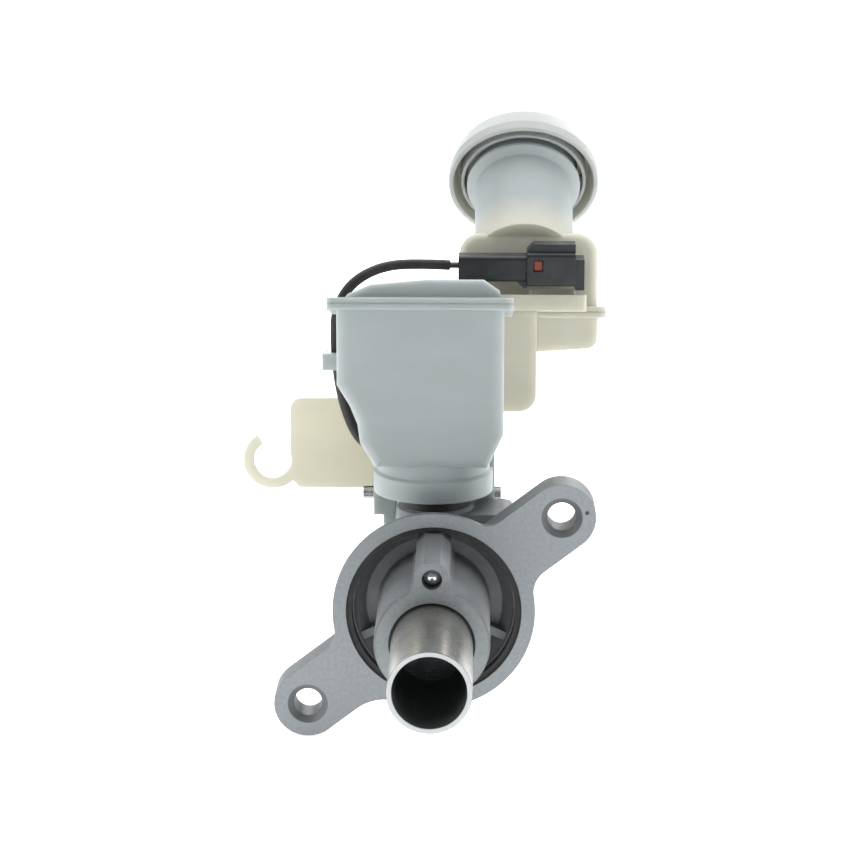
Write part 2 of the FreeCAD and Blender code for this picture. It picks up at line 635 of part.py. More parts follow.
def make_lower_extras():
    """Collar, legs, nipples and lead clip under and beside the chamber."""
    collar = new_body("reservoir_collar")
    turn(collar, "Z", [
        ("0", "base_z"), ("collar_radius", "base_z"), ("collar_radius", "base_z + 6.2"),
        ("collar_radius - 0.9", "base_z + 6.9"), ("collar_radius - 0.9", "floor_z + 1"),
        ("0", "floor_z + 1")], ("collar_x", "collar_y", "0"))
    legs = []
    for tag, x0, x1, x2, x3 in (("left_leg", "-19.4", "-12.6", "-16.4", "-13"),
                                ("right_leg", "11.8", "18.2", "12.1", "15.2")):
        leg = new_body(tag)
        extrude(leg, "XZ", box_corners(x0, "18.2", x1, "base_z + 2"), "pin_y - 6.5", "pin_y + 5")
        extrude(leg, "XZ", box_corners(x2, "15.4", x3, "19"), "pin_y - 6.5", "pin_y + 5")
        extrude(leg, "XZ", box_corners(x0, "base_z", x1, "floor_z + 1"), "pin_y - 11", "pin_y + 5")
        legs.append(leg)
    nipples = new_body("reservoir_nipples")
    for port, top in (("front_port", "base_z + 2"), ("rear_port", "floor_z + 1")):
        turn(nipples, "Z", [("0", "seat_floor + 2"), ("nipple_radius - 0.8", "seat_floor + 2"),
                            ("nipple_radius", "seat_floor + 3"), ("nipple_radius", "base_z"),
                            ("nipple_radius + 2.4", "base_z"), ("nipple_radius + 2.4", top), ("0", top)],
             ("0", port, "0"))
        if port == "front_port":
            extrude(nipples, "XZ", box_corners("-4", "base_z + 0.4", "4", "base_z + 1.6"),
                    "front_port", "rear_port")
    clip = new_body("lead_clip")
    extrude(clip, "XZ", box_corners("left_wall - 5.9", "63.4", "left_wall + 1", "68.5"),
            "waist_y - 2.2", "waist_y")
    extrude(clip, "XZ", box_corners("left_wall - 5.9", "63.4", "left_wall - 4.4", "68.5"),
            "waist_y - 1", "waist_y + 7.4")
    return [collar] + legs + [nipples, clip]


def make_lower_shell():
    above = new_body("above_seam")
    extrude(above, "XY", box_corners("-60", "-40", "90", "160"), "0", "60")
    tilted(above)
    outside = joined("chamber_outside", chamber_blocks("outside", "0", "3.6"))
    trimmed = cut_from("chamber_trimmed", outside, [above])
    lip = seam_slab("lower_lip", "-lip_half", "0", "lip_width")
    solid = joined("lower_solid", [trimmed, lip, make_hook_plate()] + make_lower_extras())
    hollow = chamber_blocks("inside", "wall", "1.6")
    drills = new_body("nipple_bores")
    for port, deep in (("front_port", "floor_z + 4"), ("rear_port", "floor_z + 4")):
        turn(drills, "Z", [("0", "seat_floor"), ("4", "seat_floor"), ("4", deep), ("0", deep)],
             ("0", port, "0"))
        if port == "front_port":
            extrude(drills, "XZ", box_corners("-3", "floor_z + 3", "3", "floor_z + 3.8"),
                    "front_port", "rear_port")
    capsule = new_body("post_bore")
    turn(capsule, "Z", [("0", "floor_z - 1"), ("post_bore", "floor_z - 1"), ("post_bore", "post_top - 3"),
                        ("0", "post_top - 3")], ("post_x", "post_y", "0"))
    pin_hole = new_body("pin_hole")
    extrude(pin_hole, "YZ", ("pin_y", "pin_height", "pin_radius"), "-30", "30")
    post = new_body("sensor_post")
    turn(post, "Z", [("0", "floor_z"), ("post_radius + 1.2", "floor_z"),
                     ("post_radius + 1.2", "floor_z + 6"), ("post_radius", "floor_z + 7"),
                     ("post_radius", "post_top - 1"), ("post_radius - 1", "post_top"),
                     ("0", "post_top")], ("post_x", "post_y", "0"))
    hollowed = cut_from("lower_hollowed", solid, hollow)
    with_post = joined("lower_with_post", [hollowed, post])
    publish(cut_from("reservoir_lower", with_post, [drills, capsule, pin_hole]))


def neck_frame(thing):
    """Put a body that is turned about +Z onto the filler neck's axis."""
    return place(thing, ("neck_x", "neck_y", "neck_z"), AXES["X"], "-(90 - neck_rise)")


def add_ridge(body, root, crest, start, height):
    """Single-start screw ridge about the body's Z axis."""
    sketch = new_sketch(body, "XZ", ("0", start, "0"))
    draw_outline(sketch, [(root, "0"), (crest, "0.35"), (crest, "ridge - 0.35"), (root, "ridge")])
    helix = body.newObject("PartDesign::AdditiveHelix", body.Name + "_ridge")
    helix.Profile = sketch
    helix.ReferenceAxis = (sketch, ["V_Axis"])
    helix.Mode = "pitch-height-angle"
    helix.setExpression("Pitch", linked("thread_lead"))
    helix.setExpression("Height", linked(height))
    document.recompute()
    return helix


def make_upper_shell():
    lid = new_body("lid")
    base = "0"
    back = "(main_rear - seam_front_y) %s" % SLANT
    extrude(lid, "XZ", [("left_wall + 1.2", base), ("left_wall + 3.5", "3"), ("-19", "6"), ("-3", "7.4"),
                        ("14.5", "7.4"), ("right_wall - 1.5", "4.2"), ("right_wall - 0.6", base)],
            "1", back)
    round_edges(lid, "1.6", lambda e: e.BoundBox.ZMin > 0.5 and e.BoundBox.YMax < 1.01)
    fill = new_body("fill_box")
    near = "(fill_front - seam_front_y) %s" % SLANT
    far = "(fill_rear - seam_front_y) %s" % SLANT
    extrude(fill, "XZ", [("fill_left", base), ("fill_left", "17.5", "-7"), ("fill_left + 6", "25.4"),
                         ("fill_right - 6", "25.4", "-7"), ("fill_right", "17.5"), ("fill_right", base)],
            near, far)
    round_edges(fill, "2.5", lambda e: e.BoundBox.ZMax > 0.5 and e.BoundBox.YLength < 0.01)
    shelf = new_body("plug_shelf")
    extrude(shelf, "XY", box_corners("right_wall - 2", near + " - 12", "46.8", near + " + 1"), base, "5")
    extrude(shelf, "XY", box_corners("28.9", near + " - 8.5", "43.5", near + " + 1"), "4", "7")
    round_edges(shelf, "1", lambda e: runs_along(e, AXES["Z"]))
    for body in (lid, fill, shelf):
        tilted(body)
    neck = new_body("filler_neck")
    turn(neck, "Z", [("0", "neck_root"), ("neck_radius", "neck_root"), ("neck_radius", "-3.4"),
                     ("thread_core + 1.3", "-1.6"), ("thread_core + 1.3", "-0.4"), ("thread_core", "-0.4"),
                     ("thread_core", "neck_end"), ("0", "neck_end")])
    add_ridge(neck, "thread_core - 0.3", "thread_crest", "0.3", "5.4")
    neck_frame(neck)
    lip = seam_slab("upper_lip", "0", "lip_half", "lip_width")
    solid = joined("upper_solid", [lid, fill, shelf, neck, lip])
    lid_in = new_body("lid_inside")
    extrude(lid_in, "XZ", [("left_wall + 4", "-1"), ("left_wall + 5.4", "1.8"), ("-18", "4.2"),
                           ("-3", "5.4"), ("13.4", "5.4"), ("right_wall - 3.4", "3"),
                           ("right_wall - 3.2", "-1")], "wall + 1", back + " - wall")
    fill_in = new_body("fill_inside")
    extrude(fill_in, "XZ", [("fill_left + wall", "-1"), ("fill_left + wall", "17.5", "-5"),
                            ("fill_left + 6", "23.2"), ("fill_right - 6", "23.2", "-5"),
                            ("fill_right - wall", "17.5"), ("fill_right - wall", "-1")],
            near + " + wall", far + " - wall")
    for body in (lid_in, fill_in):
        tilted(body)
    bore = new_body("neck_bore_tool")
    turn(bore, "Z", [("0", "neck_root + 8"), ("neck_bore", "neck_root + 8"), ("neck_bore", "neck_end + 1"),
                     ("0", "neck_end + 1")])
    neck_frame(bore)
    under = new_body("under_seam")
    extrude(under, "XY", box_corners("-60", "-40", "90", "180"), "-60", "0")
    tilted(under)
    publish(cut_from("reservoir_upper", solid, [lid_in, fill_in, bore, under]))


def make_cap():
    shell = new_body("filler_cap")
    turn(shell, "Z", [
        ("0", "cap_height - 2"), ("cap_inner", "cap_height - 2"),
        ("cap_inner", "0.8"), ("cap_inner + inner_skirt", "0.8"),
        ("cap_inner + inner_skirt", "cap_height - 3.6"), ("cap_top_radius - 0.6", "cap_height - 3.6"),
        ("cap_rim_radius - cap_wall", "1.2"), ("cap_rim_radius - cap_wall", "0"),
        ("cap_rim_radius", "0"), ("cap_rim_radius", "3.4"),
        ("cap_top_radius + 0.6", "cap_height - 1.6", "2.4"),
        ("cap_top_radius - 1.4", "cap_height"), ("0", "cap_height")])
    add_ridge(shell, "cap_inner + 0.3", "cap_crest", "0.3 + thread_lead / 2", "4.2")
    publish(neck_frame(shell))
    gasket = new_body("cap_gasket")
    turn(gasket, "Z", [("neck_bore + 0.2", "neck_end + 0.02"), ("thread_core + 0.4", "neck_end + 0.02"),
                       ("thread_core + 0.4", "cap_height - 2.1"), ("neck_bore - 4", "cap_height - 2.1"),
                       ("neck_bore - 4", "cap_height - 2.6"), ("neck_bore + 0.2", "cap_height - 2.6")])
    publish(neck_frame(gasket))
    strainer = new_body("filler_strainer")
    turn(strainer, "Z", [("0", "neck_end - 26"), ("neck_bore - 1.2", "neck_end - 26"),
                         ("neck_bore - 1.2", "neck_end - 1.6"), ("neck_bore", "neck_end - 1.6"),
                         ("neck_bore", "neck_end - 0.3"), ("neck_bore - 2.2", "neck_end - 0.3"),
                         ("neck_bore - 2.2", "neck_end - 25"), ("0", "neck_end - 25")])
    for step in range(8):
        angle = "%g" % (step * 45)
        slot = [polar("neck_bore - 4", angle, "-11"), polar("neck_bore + 0.5", angle, "-11"),
                polar("neck_bore + 0.5", angle, "11"), polar("neck_bore - 4", angle, "11")]
        extrude(strainer, "XY", slot, "neck_end - 23", "neck_end - 6", cut=True)
    publish(neck_frame(strainer))


# ---- level sensor and its connector ------------------------------------------------

def make_level_parts():
    spot = ("post_x", "post_y", "0")
    simple_turned("level_float", [
        ("float_bore", "float_low"), ("float_radius - 1.5", "float_low"),
        ("float_radius", "float_low + 1.5"), ("float_radius", "float_high - 1.5"),
        ("float_radius - 1.5", "float_high"), ("float_bore", "float_high")], "Z", spot)
    magnet = published["level_float"]
    turn(magnet, "Z", tube_outline("float_bore - 1", "float_bore + 2.4", "float_low - 1", "float_low + 4"),
         spot, cut=True)
    simple_turned("float_magnet", tube_outline("float_bore", "float_bore + 2.4", "float_low",
                                               "float_low + 4"), "Z", spot)
    sensor = new_body("level_sensor")
    turn(sensor, "Z", [("0", "floor_z - 1.5"), ("post_bore - 0.15", "floor_z - 1.5"),
                       ("post_bore - 0.15", "post_top - 4"), ("0", "post_top - 4")], spot)
    extrude(sensor, "XY", box_corners("post_x - 5.4", "post_y - 4.4", "post_x + 2.6", "post_y + 2.8"),
            "floor_z - 6.8", "floor_z - 0.1")
    round_edges(sensor, "1", lambda e: runs_along(e, AXES["Z"]) and e.BoundBox.ZMin < value("floor_z - 5"))
    publish(sensor)


def rounded_path(points):
    """Wire of straight runs joined by tangent arcs, each as large as its runs allow."""
    spots = [FreeCAD.Vector(*p) for p in points]
    edges, radii, start = [], [], spots[0]
    for before, corner, after in zip(spots, spots[1:], spots[2:]):
        inward, outward = (before - corner).normalize(), (after - corner).normalize()
        turn_half = (math.pi - inward.getAngle(outward)) / 2
        trim = 0.45 * min((before - corner).Length, (after - corner).Length)
        radius = trim / math.tan(turn_half)
        first, last = corner + inward * trim, corner + outward * trim
        centre = corner + (inward + outward).normalize() * (radius / math.cos(turn_half))
        middle = centre + (corner - centre).normalize() * radius
        edges += [Part.LineSegment(start, first).toShape(), Part.Arc(first, middle, last).toShape()]
        radii.append(radius)
        start = last
    edges.append(Part.LineSegment(start, spots[-1]).toShape())
    return Part.Wire(edges), radii


def make_lead():
    """Round sheathed lead swept along its route; its sizes are read from the sheet."""
    path, radii = rounded_path(LEAD_ROUTE)
    radius = value("lead_radius")
    first = path.Edges[0]
    way = first.tangentAt(first.FirstParameter)
    ring = Part.Wire(Part.Circle(FreeCAD.Vector(*LEAD_ROUTE[0]), way, radius).toShape())
    solid = path.makePipeShell([ring], True, False)
    expected = math.pi * radius * radius * path.Length
    print("lead length %.1f, volume ratio %.3f, radii" % (path.Length, solid.Volume / expected),
          ["%.1f" % r for r in radii])
    lead = document.addObject("Part::Feature", "sensor_lead")
    lead.Shape = solid
    publish(lead)


def make_plug():
    housing = new_body("connector_housing")
    extrude(housing, "YZ", box_corners("plug_y - 4.1", "88", "plug_y + 4.1", "96.2"),
            "plug_left", "plug_mid")
    round_edges(housing, "1.4", lambda e: runs_along(e, AXES["X"]))
    extrude(housing, "XZ", [("24", "89"), ("plug_mid", "89"), ("plug_mid", "86.2"), ("27", "86.2")],
            "plug_y - 3.4", "plug_y + 3.4")
    extrude(housing, "YZ", box_corners("plug_y - 2.2", "90", "plug_y + 2.2", "94.4"), "plug_left - 1",
            "plug_left + 12", cut=True)
    publish(housing)
    shell = new_body("connector_shell")
    extrude(shell, "YZ", box_corners("plug_y - 5.2", "plug_low", "plug_y + 5.2", "plug_high"), "plug_mid",
            "plug_right")
    round_edges(shell, "1.3", lambda e: runs_along(e, AXES["X"]))
    extrude(shell, "XZ", [("plug_mid", "plug_high - 1"), ("plug_right", "plug_high - 1"),
                          ("plug_right", "99.9"), ("plug_mid + 2", "99.9"), ("plug_mid", "97.8")],
            "plug_y - 3.2", "plug_y + 3.2")
    extrude(shell, "YZ", box_corners("plug_y - 4.4", "85.6", "plug_y + 4.4", "95.2"), "plug_right - 0.1",
            "plug_right + 2.8")
    extrude(shell, "YZ", box_corners("plug_y - 3", "88.4", "plug_y + 3", "93.6"), "plug_mid + 5",
            "plug_right + 4", cut=True)
    extrude(shell, "XZ", box_corners("30.1", "91.7", "33.1", "95.2"), "plug_y - 6", "plug_y - 4", cut=True)
    publish(shell)
    lock = new_body("connector_lock")
    extrude(lock, "XZ", box_corners("30.4", "92", "32.8", "94.9"), "plug_y - 4.9", "plug_y - 4")
    publish(lock)
    blades = []
    for tag, side in (("front_terminal", "-1.2"), ("rear_terminal", "1.2")):
        blade = new_body(tag)
        turn(blade, "X", [("0", "plug_mid + 5"), ("0.5", "plug_mid + 5"), ("0.5", "plug_right - 1"),
                          ("0.2", "plug_right"), ("0", "plug_right")], ("0", "plug_y + " + side, "91"))
        blades.append(blade)
    publish(joined("terminal_pair", blades), "connector_terminals")
    pair = []
    for tag, side in (("front_wire", "-0.95"), ("rear_wire", "0.95")):
        wire = new_body(tag)
        turn(wire, "X", [("0", "3.6"), ("0.75", "3.6"), ("0.75", "plug_left + 12"),
                         ("0", "plug_left + 12")], ("0", "plug_y + " + side, "92.7"))
        pair.append(wire)
    publish(joined("wire_pair", pair), "lead_wires")


def make_pin():
    body = new_body("reservoir_pin")
    extrude(body, "YZ", ("pin_y", "pin_height", "pin_radius"), "pin_left", "pin_right")
    extrude(body, "YZ", ("pin_y", "pin_height", "pin_radius - 0.8"),
            "pin_left - 1", "pin_right + 1", cut=True)
    extrude(body, "YZ", box_corners("pin_y - 0.5", "pin_height", "pin_y + 0.5", "pin_height + 3"),
            "pin_left - 1", "pin_right + 1", cut=True)
    publish(body)


# ---- build, check and write --------------------------------------------------------

make_cylinder_body()
make_pistons()
make_seals()
make_spring("primary_spring", "tube_floor + web", "second_rear - 1.2", SPRING_TURNS)
make_spring("secondary_spring", "second_rear + rear_cavity + web", "bore_end - 2", SPRING_TURNS)
make_spring_cage()
make_lower_shell()
make_upper_shell()
make_cap()
make_level_parts()
make_plug()
make_lead()
make_pin()

document.recompute()
bad = [o.Name for o in document.Objects if "Invalid" in o.State or "Error" in o.State]
if bad:
    raise RuntimeError("failed: " + ", ".join(bad))
os.makedirs("parts", exist_ok=True)
for name, thing in published.items():
    shape = thing.Shape
    if shape.isNull() or not shape.isValid() or not shape.Solids:
        raise RuntimeError("bad shape in " + name)
    print("%-26s solids %d volume %.1f" % (name, len(shape.Solids), shape.Volume))
for name, thing in published.items():
    thing.Shape.exportStep("parts/%s.step" % name)
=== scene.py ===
import json
import math

import bmesh
import bpy
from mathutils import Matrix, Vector


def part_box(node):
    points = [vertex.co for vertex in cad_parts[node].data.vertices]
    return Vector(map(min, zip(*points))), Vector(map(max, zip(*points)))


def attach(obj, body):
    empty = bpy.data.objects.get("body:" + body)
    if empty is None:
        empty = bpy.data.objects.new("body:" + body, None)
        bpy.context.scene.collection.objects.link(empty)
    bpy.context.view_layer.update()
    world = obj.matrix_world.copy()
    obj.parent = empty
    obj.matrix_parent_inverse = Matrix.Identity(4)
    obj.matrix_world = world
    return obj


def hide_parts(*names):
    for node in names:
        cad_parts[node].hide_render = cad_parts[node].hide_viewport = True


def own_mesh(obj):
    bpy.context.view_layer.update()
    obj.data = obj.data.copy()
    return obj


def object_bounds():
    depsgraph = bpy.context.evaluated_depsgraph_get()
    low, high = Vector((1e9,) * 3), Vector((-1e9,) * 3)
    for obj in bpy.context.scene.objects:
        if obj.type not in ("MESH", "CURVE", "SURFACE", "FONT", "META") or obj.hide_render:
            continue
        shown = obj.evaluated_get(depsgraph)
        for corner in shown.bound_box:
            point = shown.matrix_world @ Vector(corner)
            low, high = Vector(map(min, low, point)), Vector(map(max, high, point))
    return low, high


# Looks of a car's tandem brake master cylinder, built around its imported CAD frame.
# Metres; +Y along the bore away from the viewer, +Z up, origin on the flange's face.

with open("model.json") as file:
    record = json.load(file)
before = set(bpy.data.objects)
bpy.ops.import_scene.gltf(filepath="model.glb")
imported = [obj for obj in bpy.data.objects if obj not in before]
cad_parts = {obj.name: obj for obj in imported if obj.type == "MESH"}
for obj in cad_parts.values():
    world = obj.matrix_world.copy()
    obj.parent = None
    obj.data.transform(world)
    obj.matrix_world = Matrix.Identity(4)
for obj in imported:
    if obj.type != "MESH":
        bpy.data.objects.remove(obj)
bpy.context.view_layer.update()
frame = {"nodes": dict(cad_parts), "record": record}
MM = 0.001

# Places on the CAD model where a surface changes its finish or its painted shade.
PORT_TOP = 25.6 * MM
OUTLET_END = 24.4 * MM
BORE_REACH = 12.7 * MM
BORE_STOP = 112.5 * MM
TUBE_BORE = 10.42 * MM
TUBE_FLOOR = -31.5 * MM
# The reservoir turns from cool to a painted cream glow of light shining through it between these
# stations along Y, and back to cool up the filler neck, between these sums of Y and Z.
BACKLIT_START = 47.0 * MM
BACKLIT_FULL = 60.0 * MM
NECK_START = 180.0 * MM
NECK_FULL = 200.0 * MM
# Each spring's wire, its turns, the CAD coil's wire, and how flat its closed end turns
# lie.
SPRING_TURNS = 8.0
WIRE_RADIUS = 1.02 * MM
CAD_WIRE_RADIUS = 1.05 * MM
DEAD_PITCH = 0.28
LEAD_RADIUS = 1.6 * MM
FLOOR_GAP = 0.4 * MM
FLOOR_GLOW = 0.75
# The sky brightens from behind the camera to behind the part.
SKY_FROM, SKY_TO = -0.7, 0.8
SKY_DIM, SKY_BRIGHT = 0.24, 1.05


def span(node):
    """Lowest and highest corner of a CAD node."""
    low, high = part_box(node)
    return low, high


# ---- shader building ---------------------------------------------------------------

class Shader:
    """Principled material whose textures follow the piece's own coordinates."""

    def __init__(self, name, color, roughness, **sockets):
        self.material = bpy.data.materials.new(name)
        self.material.use_nodes = True
        self.tree = self.material.node_tree
        self.bsdf = self.tree.nodes["Principled BSDF"]
        self.bsdf.inputs["Base Color"].default_value = (*color, 1)
        self.bsdf.inputs["Roughness"].default_value = roughness
        for socket, setting in sockets.items():
            self.bsdf.inputs[socket.replace("_", " ")].default_value = setting
        self.place = self.add("ShaderNodeTexCoord").outputs["Object"]
        self.height = None

    def add(self, kind, links=(), **settings):
        node = self.tree.nodes.new(kind)
        for key, setting in settings.items():
            setattr(node, key, setting)
        for socket, source in links:
            if isinstance(source, bpy.types.NodeSocket):
                self.tree.links.new(source, node.inputs[socket])
            else:
                node.inputs[socket].default_value = source
        return node

    def link(self, source, socket):
        self.tree.links.new(source, self.bsdf.inputs[socket])

    def math(self, operation, first, second=0.0):
        links = [(0, first), (1, second)]
        return self.add("ShaderNodeMath", links, operation=operation).outputs[0]

    def axes(self):
        split = self.add("ShaderNodeSeparateXYZ", [(0, self.place)])
        return split.outputs["X"], split.outputs["Y"], split.outputs["Z"]

    def noise(self, scale, detail=4.0, stretch=None, roughness=0.6):
        source = self.place
        if stretch:
            links = [("Vector", self.place), ("Scale", stretch)]
            source = self.add("ShaderNodeMapping", links).outputs[0]
        texture = self.add("ShaderNodeTexNoise", [("Vector", source), ("Scale", scale),
                                                  ("Detail", detail), ("Roughness", roughness)])
        return texture.outputs[0]

    def ramp(self, source, stops):
        node = self.add("ShaderNodeValToRGB", [(0, source)])
        elements = node.color_ramp.elements
        while len(elements) < len(stops):
            elements.new(0.5)
        for element, (position, color) in zip(elements, stops):
            element.position = position
            element.color = (*color, 1)
        return node.outputs[0]

    def between(self, source, low, high, out_low=0.0, out_high=1.0):
        return self.add("ShaderNodeMapRange", [(0, source), (1, low), (2, high), (3, out_low),
                                               (4, out_high)]).outputs[0]

    def mix(self, share, first, second):
        node = self.add("ShaderNodeMix", data_type="RGBA")
        for socket, source in ((0, share), (6, first), (7, second)):
            if isinstance(source, bpy.types.NodeSocket):
                self.tree.links.new(source, node.inputs[socket])
            else:
                node.inputs[socket].default_value = source if socket == 0 else (*source, 1)
        return node.outputs[2]

    def bump(self, height, distance, strength=1.0):
        """Stack a bump of a depth in metres on the ones before it."""
        links = [("Height", height), ("Distance", distance), ("Strength", strength)]
        if self.height is not None:
            links.append(("Normal", self.height))
        self.height = self.add("ShaderNodeBump", links).outputs[0]
        self.link(self.height, "Normal")

    def soft_edges(self, radius):
        """Catch light along sharp edges as a worn or moulded edge does."""
        self.height = self.add("ShaderNodeBevel", [("Radius", radius)], samples=4).outputs[0]
        self.link(self.height, "Normal")


# ---- materials ---------------------------------------------------------------------

def from_bore(shader, x, z):
    """Distance from the bore's axis."""
    squares = shader.math("ADD", shader.math("POWER", x, 2.0), shader.math("POWER", z, 2.0))
    return shader.math("SQRT", squares)


def shades(shader, source, color, low, high):
    """Colour that drifts between a darker and a lighter version of itself."""
    dark = tuple(c * low for c in color)
    light = tuple(min(1.0, c * high) for c in color)
    return shader.ramp(source, [(0.3, dark), (0.7, light)])


def near(shader, source, target, reach):
    """1 where a coordinate is within reach of a target, else 0."""
    gap = shader.math("ABSOLUTE", shader.math("SUBTRACT", source, target))
    return shader.math("LESS_THAN", gap, reach)


def cast_metal():
    """Cast aluminium with machined faces at the flange, snout, ports and outlets."""
    snout_face = span("cylinder_body")[0].y
    shader = Shader("cast_aluminium", (0.3, 0.31, 0.32), 0.5)
    shader.soft_edges(0.25 * MM)
    x, y, z = shader.axes()
    normal = shader.add("ShaderNodeTexCoord").outputs["Normal"]
    facing = shader.add("ShaderNodeSeparateXYZ", [(0, normal)])
    to_booster = shader.math("LESS_THAN", facing.outputs["Y"], -0.9)
    up = shader.math("GREATER_THAN", facing.outputs["Z"], 0.9)
    aside = shader.math("GREATER_THAN", facing.outputs["X"], 0.9)
    cut = shader.math("MULTIPLY", shader.math("LESS_THAN", from_bore(shader, x, z), BORE_REACH),
                      shader.math("LESS_THAN", y, BORE_STOP))
    machined = ((near(shader, y, 0.0, 0.1 * MM), to_booster),
                (near(shader, y, snout_face, 0.3 * MM), to_booster),
                (near(shader, z, PORT_TOP, 0.1 * MM), up),
                (near(shader, x, OUTLET_END, 0.1 * MM), aside))
    for place, side in machined:
        cut = shader.math("MAXIMUM", cut, shader.math("MULTIPLY", place, side))
    blotch = shader.noise(55.0, 5.0)
    grain = shader.noise(1500.0, 3.0)
    cast = shader.ramp(blotch, [(0.3, (0.14, 0.15, 0.155)), (0.5, (0.18, 0.19, 0.197)),
                                (0.72, (0.235, 0.248, 0.257))])
    swirl = shader.noise(900.0, 2.0)
    milled = shader.ramp(swirl, [(0.25, (0.245, 0.265, 0.278)), (0.75, (0.32, 0.345, 0.36))])
    shader.link(shader.mix(cut, cast, milled), "Base Color")
    rough = shader.add("ShaderNodeMix", [(0, cut), (2, shader.between(grain, 0.3, 0.7, 0.42, 0.62)),
                                         (3, shader.between(swirl, 0.3, 0.7, 0.34, 0.46))])
    shader.link(rough.outputs[0], "Roughness")
    shader.link(shader.between(cut, 0.0, 1.0, 0.25, 0.3), "Metallic")
    uncut = shader.math("SUBTRACT", 1.0, cut)
    shader.bump(shader.math("MULTIPLY", grain, uncut), 0.09 * MM, 0.8)
    shader.bump(shader.math("MULTIPLY", shader.noise(240.0, 4.0), uncut), 0.22 * MM, 0.5)
    shader.bump(shader.math("MULTIPLY", swirl, cut), 0.012 * MM, 0.4)
    return shader.material


def turned_metal(name, color, roughness, along=1):
    """Ground or drawn metal: fine rings round its length, soft stains."""
    shader = Shader(name, color, roughness, Metallic=0.95)
    stretch = [60.0, 60.0, 60.0]
    stretch[along] = 1600.0
    rings = shader.noise(3.0, 4.0, stretch)
    stain = shader.noise(45.0, 3.0)
    shader.link(shades(shader, stain, color, 0.82, 1.14), "Base Color")
    shader.link(shader.between(rings, 0.3, 0.7, roughness * 0.8, roughness * 1.25), "Roughness")
    shader.bump(rings, 0.006 * MM, 0.5)
    return shader.material


def natural_plastic(name, front, backlit_tint, glow):
    """Milky translucent moulding, cool in front, with painted cream light shining through it
    behind.
    """
    shader = Shader(name, front, 0.42, IOR=1.48)
    shader.bsdf.inputs["Subsurface Weight"].default_value = 0.55
    shader.bsdf.inputs["Subsurface Radius"].default_value = (1.0, 0.95, 0.82)
    shader.bsdf.inputs["Subsurface Scale"].default_value = 0.006
    shader.bsdf.inputs["Transmission Weight"].default_value = glow
    shader.soft_edges(0.5 * MM)
    _, y, z = shader.axes()
    flow = shader.noise(28.0, 3.0, (1.0, 1.0, 2.2))
    grain = shader.noise(1900.0, 2.0)
    cool = shades(shader, flow, front, 0.95, 1.05)
    # Painted light: the cream is light shining through the plastic, painted into the colour behind.
    backlit_shades = shades(shader, flow, backlit_tint, 0.95, 1.05)
    behind = shader.between(y, BACKLIT_START, BACKLIT_FULL)
    below_neck = shader.between(shader.math("ADD", y, z), NECK_START, NECK_FULL, 1.0, 0.0)
    shader.link(shader.mix(shader.math("MULTIPLY", behind, below_neck), cool, backlit_shades), "Base Color")
    shader.link(shader.between(grain, 0.3, 0.7, 0.36, 0.5), "Roughness")
    shader.bump(grain, 0.012 * MM, 0.5)
    shader.bump(shader.noise(60.0, 2.0), 0.25 * MM, 0.25)
    return shader.material


def piston_metal():
    """Anodised tube: ground skin, pale turned end, dull bore painted dark with shade, and a paler
    floor.
    """
    tube_end = span("primary_piston")[0].y
    shader = Shader("anodised_piston", (0.3, 0.3, 0.28), 0.28)
    x, y, z = shader.axes()
    in_tube = shader.math("LESS_THAN", from_bore(shader, x, z), TUBE_BORE)
    rings = shader.noise(3.0, 4.0, (60.0, 1500.0, 60.0))
    stain = shader.noise(45.0, 3.0)
    skin = shader.ramp(stain, [(0.3, (0.23, 0.228, 0.21)), (0.7, (0.34, 0.335, 0.31))])
    # Painted shade: the tube's bore walls are coloured near black for the shade inside the pocket.
    bore = shader.ramp(stain, [(0.3, (0.085, 0.092, 0.09)), (0.7, (0.115, 0.124, 0.122))])
    inside = shader.math("MULTIPLY", in_tube, shader.math("LESS_THAN", y, TUBE_FLOOR - 0.1 * MM))
    floor = shader.math("MULTIPLY", in_tube, near(shader, y, TUBE_FLOOR, 0.1 * MM))
    end = shader.math("LESS_THAN", y, tube_end + 0.12 * MM)
    color = shader.mix(inside, skin, bore)
    color = shader.mix(floor, color, (0.34, 0.38, 0.385))
    shader.link(shader.mix(end, color, (0.6, 0.63, 0.64)), "Base Color")
    dull = shader.math("MAXIMUM", inside, end)
    shader.link(shader.between(dull, 0.0, 1.0, 0.8, 0.15), "Metallic")
    rough = shader.math("ADD", shader.between(rings, 0.3, 0.7, 0.2, 0.32),
                        shader.math("MULTIPLY", dull, 0.3))
    shader.link(rough, "Roughness")
    shader.bump(rings, 0.006 * MM, 0.5)
    return shader.material


def dull_black(name, color, roughness, grain_scale, depth, edge=0.2):
    """Moulded rubber or plastic: fine grain, faint dust, soft edges."""
    shader = Shader(name, color, roughness)
    shader.soft_edges(edge * MM)
    grain = shader.noise(grain_scale, 3.0)
    dust = shader.noise(160.0, 5.0)
    pale = tuple(min(1.0, c * 1.7 + 0.012) for c in color)
    shader.link(shader.ramp(dust, [(0.42, color), (0.85, pale)]), "Base Color")
    shader.link(shader.between(grain, 0.3, 0.7, roughness - 0.08, roughness + 0.1), "Roughness")
    shader.bump(grain, depth, 0.6)
    return shader.material


